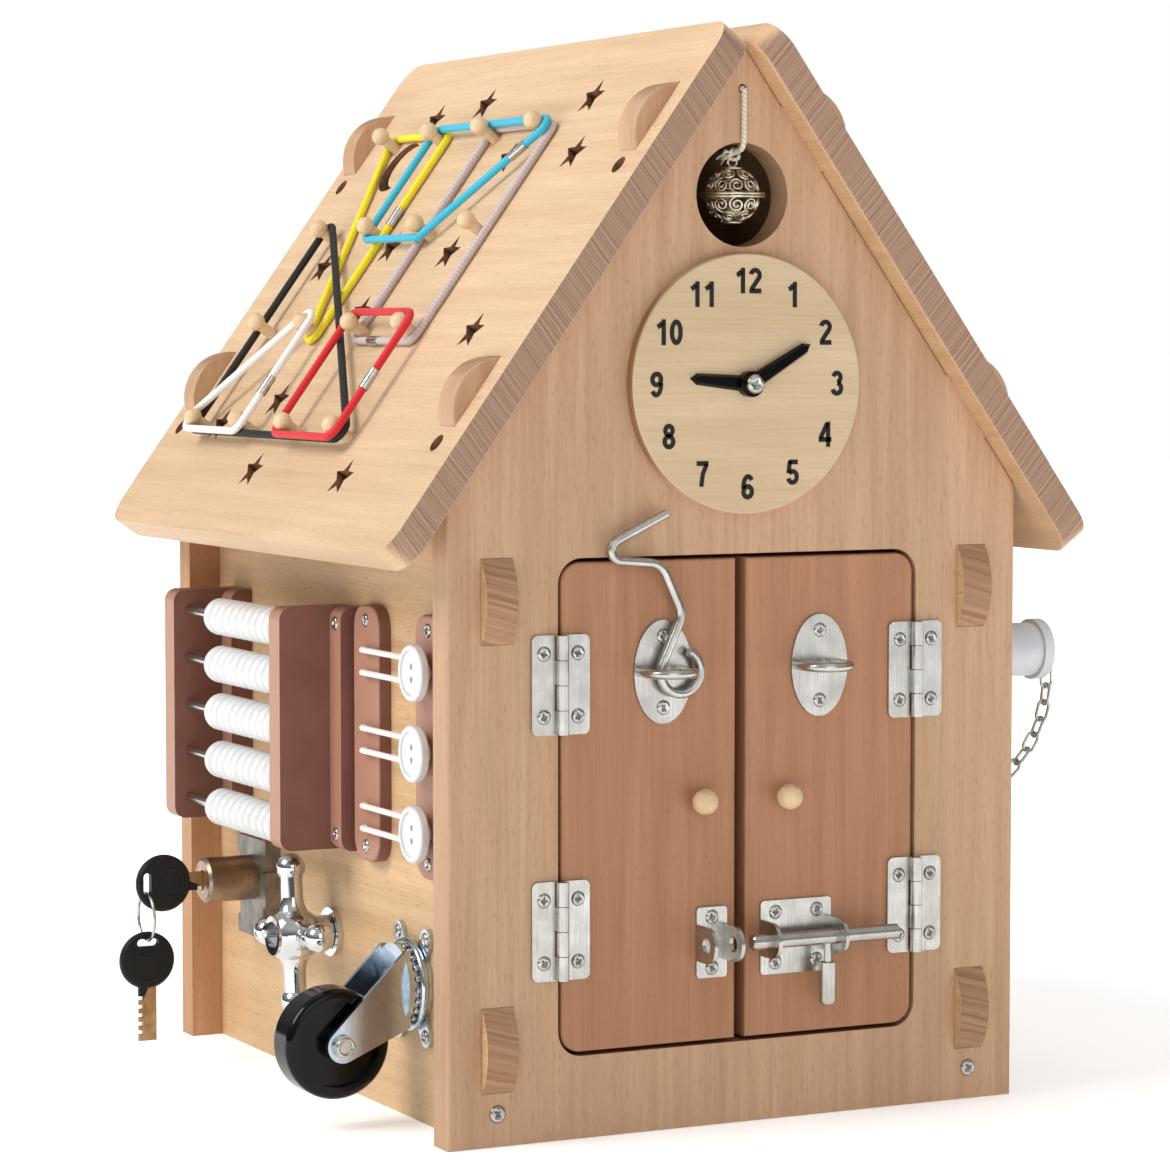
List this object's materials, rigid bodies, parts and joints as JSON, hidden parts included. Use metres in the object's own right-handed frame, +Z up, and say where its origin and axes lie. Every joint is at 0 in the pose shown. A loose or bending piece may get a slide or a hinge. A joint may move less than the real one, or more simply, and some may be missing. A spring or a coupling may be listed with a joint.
{
  "type": "wooden busy house",
  "caption": "Wooden play house with a pitched roof, hinged doors with a hook and a bolt, a clock, a bell, an abacus, buttons, a lock, a tap handle, a caster and a peg board.",
  "frame": {"origin": "middle of the house's footprint, on the surface that it stands on", "axes": "+Z up, the doors face -Y, the abacus side is -X"},
  "size_m": [0.345, 0.3056, 0.4264],
  "materials": {
    "beech": "sanded, oiled",
    "red_beech": "sanded, oiled",
    "birch_ply": "sanded",
    "brown_paint": "satin paint",
    "yellow_elastic": "braided",
    "cyan_elastic": "braided",
    "grey_elastic": "braided",
    "red_elastic": "braided",
    "white_elastic": "braided",
    "black_elastic": "braided",
    "bright_steel": "polished",
    "brushed_steel": "brushed",
    "black_plastic": "gloss",
    "white_plastic": "gloss",
    "nickel": "nickel plated",
    "key_black": "moulded",
    "cotton": "twisted",
    "chrome": "mirror",
    "zinc": "zinc plated"
  },
  "bodies": {
    "house": {"front_wall": "beech", "back_wall": "beech", "left_wall": "beech", "right_wall": "beech", "floor_panel": "beech", "left_roof": "beech", "right_roof": "beech", "geoboard_pegs": "beech", "band_yellow": "yellow_elastic", "band_cyan": "cyan_elastic", "band_grey": "grey_elastic", "band_red": "red_elastic", "band_white": "white_elastic", "band_black": "black_elastic", "band_crimps": "bright_steel", "wall_hinge_leaves": "brushed_steel", "hinge_pins": "brushed_steel", "clock_face": "birch_ply", "clock_pin": "brushed_steel", "abacus_ends": "brown_paint", "abacus_rods": "bright_steel", "button_rails": "brown_paint", "buttons": "white_plastic", "elastic_loops": "white_elastic", "lock_case": "nickel", "handle_stem": "chrome", "caster_plate": "zinc", "plug_tube": "white_plastic", "plug_chain": "bright_steel", "basin_plug": "white_plastic"},
    "left_door": {"left_door": "red_beech", "left_knob": "beech", "left_hinge_leaves": "brushed_steel", "left_eye": "brushed_steel", "bolt_keeper": "brushed_steel"},
    "right_door": {"right_door": "red_beech", "right_knob": "beech", "right_hinge_leaves": "brushed_steel", "right_eye": "brushed_steel", "bolt_guide": "brushed_steel"},
    "hook": {"door_hook": "brushed_steel"},
    "bolt": {"bolt_rod": "brushed_steel"},
    "hour_hand": {"hour_hand": "black_plastic"},
    "minute_hand": {"minute_hand": "black_plastic"},
    "bell": {"bell": "nickel", "bell_string": "cotton"},
    "bead_row_1": {"bead_row_1": "white_plastic"},
    "bead_row_2": {"bead_row_2": "white_plastic"},
    "bead_row_3": {"bead_row_3": "white_plastic"},
    "bead_row_4": {"bead_row_4": "white_plastic"},
    "bead_row_5": {"bead_row_5": "white_plastic"},
    "key": {"lock_plug": "nickel", "lock_key": "key_black"},
    "lock_bolt": {"lock_bolt": "nickel"},
    "key_ring": {"key_ring": "bright_steel"},
    "spare_key": {"spare_key": "key_black"},
    "cross_handle": {"cross_handle": "chrome"},
    "caster_fork": {"caster_fork": "zinc", "caster_axle": "zinc"},
    "caster_wheel": {"caster_wheel": "black_plastic"}
  },
  "joints": [
    {"name": "left_door_swing", "type": "hinge", "parent": "house", "child": "left_door", "pos_m": [-0.07825, -0.14375, 0.1278], "axis": [0, 0, -1], "range_deg": [0, 110]},
    {"name": "right_door_swing", "type": "hinge", "parent": "house", "child": "right_door", "pos_m": [0.07825, -0.14375, 0.1278], "axis": [0, 0, 1], "range_deg": [0, 110]},
    {"name": "hook_drop", "type": "hinge", "parent": "left_door", "child": "hook", "pos_m": [-0.02885, -0.1456, 0.178], "axis": [0, 1, 0], "range_deg": [0, 115]},
    {"name": "bolt_slide", "type": "slide", "parent": "right_door", "child": "bolt", "axis": [-1, 0, 0], "range_m": [0, 0.021]},
    {"name": "hour_turn", "type": "hinge", "parent": "house", "child": "hour_hand", "pos_m": [0, -0.147, 0.288], "axis": [0, 1, 0], "continuous": true},
    {"name": "minute_turn", "type": "hinge", "parent": "house", "child": "minute_hand", "pos_m": [0, -0.149, 0.288], "axis": [0, 1, 0], "continuous": true},
    {"name": "bell_swing", "type": "hinge", "parent": "house", "child": "bell", "pos_m": [0, -0.1424, 0.401], "axis": [-1, 0, 0], "range_deg": [0, 50]},
    {"name": "beads_1_slide", "type": "slide", "parent": "house", "child": "bead_row_1", "axis": [0, 1, 0], "range_m": [0, 0.035]},
    {"name": "beads_2_slide", "type": "slide", "parent": "house", "child": "bead_row_2", "axis": [0, 1, 0], "range_m": [0, 0.035]},
    {"name": "beads_3_slide", "type": "slide", "parent": "house", "child": "bead_row_3", "axis": [0, 1, 0], "range_m": [0, 0.035]},
    {"name": "beads_4_slide", "type": "slide", "parent": "house", "child": "bead_row_4", "axis": [0, 1, 0], "range_m": [0, 0.035]},
    {"name": "beads_5_slide", "type": "slide", "parent": "house", "child": "bead_row_5", "axis": [0, 1, 0], "range_m": [0, 0.035]},
    {"name": "key_turn", "type": "hinge", "parent": "house", "child": "key", "pos_m": [-0.1404, 0.075, 0.0765], "axis": [1, 0, 0], "range_deg": [0, 90]},
    {"name": "lock_bolt_lift", "type": "slide", "parent": "house", "child": "lock_bolt", "axis": [0, 0, 1], "range_m": [0, 0.007]},
    {"name": "ring_swing", "type": "hinge", "parent": "key", "child": "key_ring", "pos_m": [-0.1654, 0.075, 0.07255], "axis": [0, 1, 0], "range_deg": [-30, 30]},
    {"name": "spare_swing", "type": "hinge", "parent": "key_ring", "child": "spare_key", "pos_m": [-0.1654, 0.075, 0.05275], "axis": [0, 1, 0], "range_deg": [-30, 30]},
    {"name": "handle_turn", "type": "hinge", "parent": "house", "child": "cross_handle", "pos_m": [-0.129, 0.0016, 0.063], "axis": [-1, 0, 0], "continuous": true},
    {"name": "caster_swivel", "type": "hinge", "parent": "house", "child": "caster_fork", "pos_m": [-0.12, -0.0804, 0.054], "axis": [-1, 0, 0], "continuous": true},
    {"name": "wheel_spin", "type": "hinge", "parent": "caster_fork", "child": "caster_wheel", "pos_m": [-0.147, -0.0804, 0.034], "axis": [0, 1, 0], "continuous": true}
  ],
  "couplings": [
    {"joint": "lock_bolt_lift", "follows": "key_turn", "m_per_rad": 0.00445}
  ]
}
